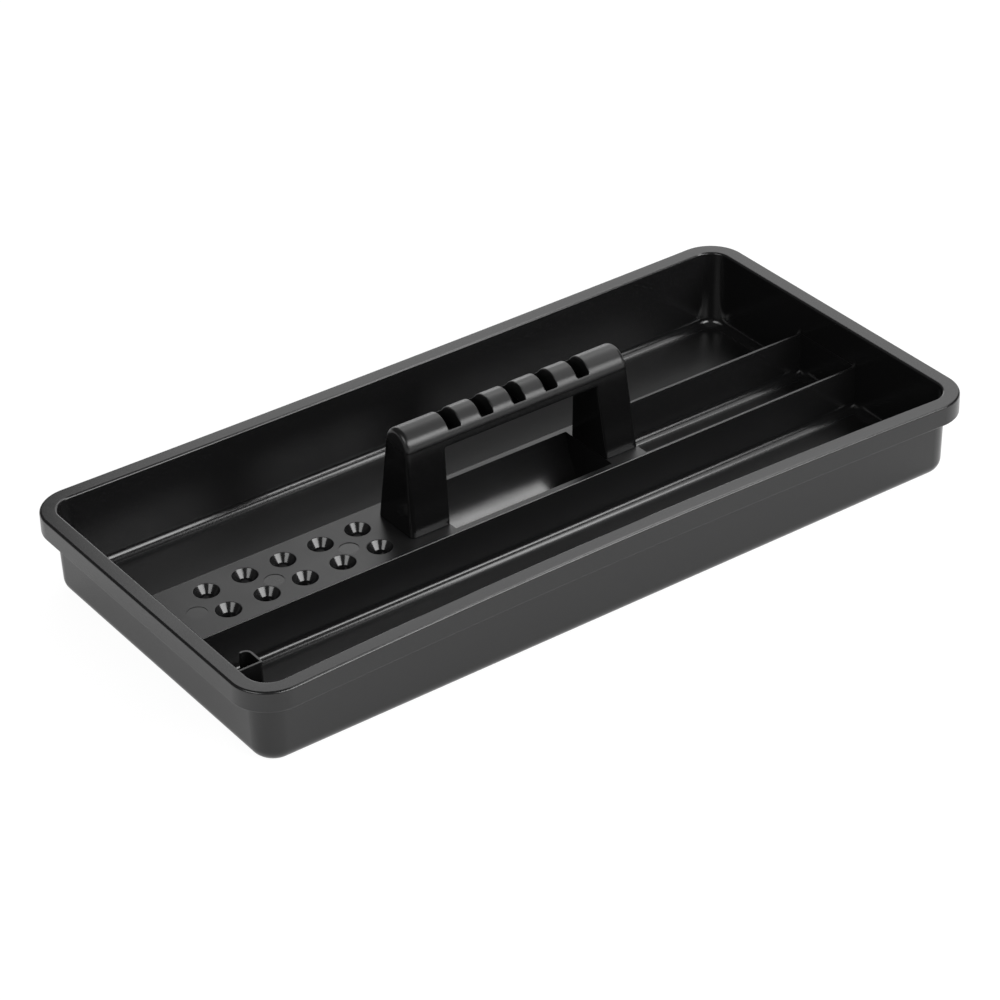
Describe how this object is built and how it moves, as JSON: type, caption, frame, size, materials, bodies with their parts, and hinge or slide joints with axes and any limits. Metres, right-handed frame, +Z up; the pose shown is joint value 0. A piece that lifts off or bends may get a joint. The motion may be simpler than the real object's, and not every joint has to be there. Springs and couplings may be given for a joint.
{
  "type": "tool storage caddy",
  "caption": "Long lift-out storage tray with a rolled rim, low dividers, a platform of conical tool sockets and an arched hollow carry handle over a finger scoop.",
  "frame": {"origin": "middle of the base, on the surface that the tray stands on", "axes": "+X along the tray towards the end with the open middle channel, +Y across it away from the hooked rib, +Z up"},
  "size_m": [0.45, 0.2184, 0.0852],
  "materials": {
    "tray_plastic": "black moulded polypropylene, satin outside and on the platform, glossier inside the compartments",
    "handle_plastic": "black moulded polypropylene with a fine satin grain on the grip"
  },
  "bodies": {
    "root": {"tray": "tray_plastic", "carry_handle": "handle_plastic"}
  },
  "joints": []
}
